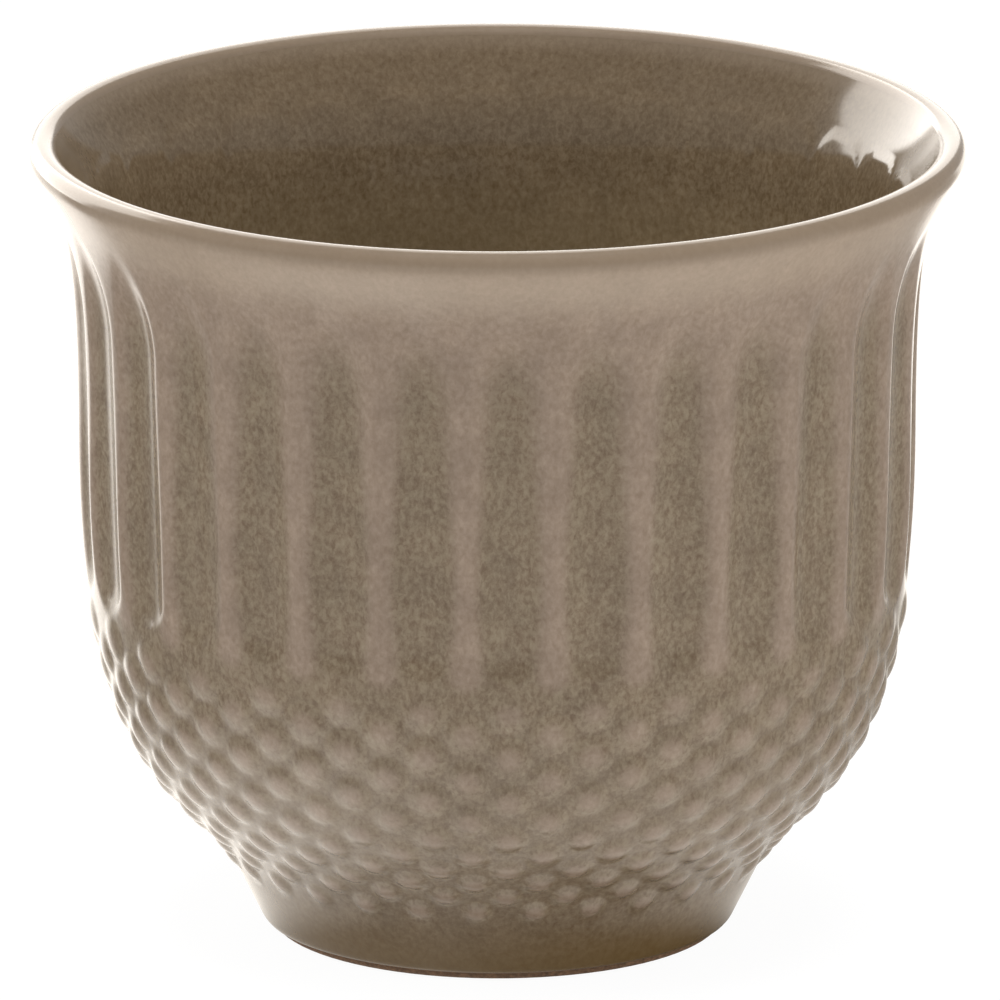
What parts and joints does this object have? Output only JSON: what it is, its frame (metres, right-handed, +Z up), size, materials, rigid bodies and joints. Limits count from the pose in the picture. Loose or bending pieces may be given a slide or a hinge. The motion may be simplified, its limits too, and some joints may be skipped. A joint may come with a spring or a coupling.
{
  "type": "handleless cup",
  "caption": "Small glazed stoneware cup without a handle: flared rounded lip, upright flutes, staggered raised beads over the bowl, short tapered foot with a bare foot ring.",
  "frame": {"origin": "centre of the circle on which the foot ring rests, at table level", "axes": "+Z is up along the cup's axis; +X and +Y are level, and the middle of a flute faces -Y"},
  "size_m": [0.086, 0.086, 0.0744],
  "materials": {
    "fired_clay": "bare fired stoneware clay, warm brown, slightly rough",
    "outer_glaze": "glossy grey-brown reactive glaze with fine mottling, paler on ridges and beads",
    "inner_glaze": "glossy grey-brown glaze with fine mottling"
  },
  "bodies": {
    "root": {"stoneware_body": "fired_clay", "outer_glaze": "outer_glaze", "liner_glaze": "inner_glaze", "foot_glaze": "inner_glaze"}
  },
  "joints": []
}
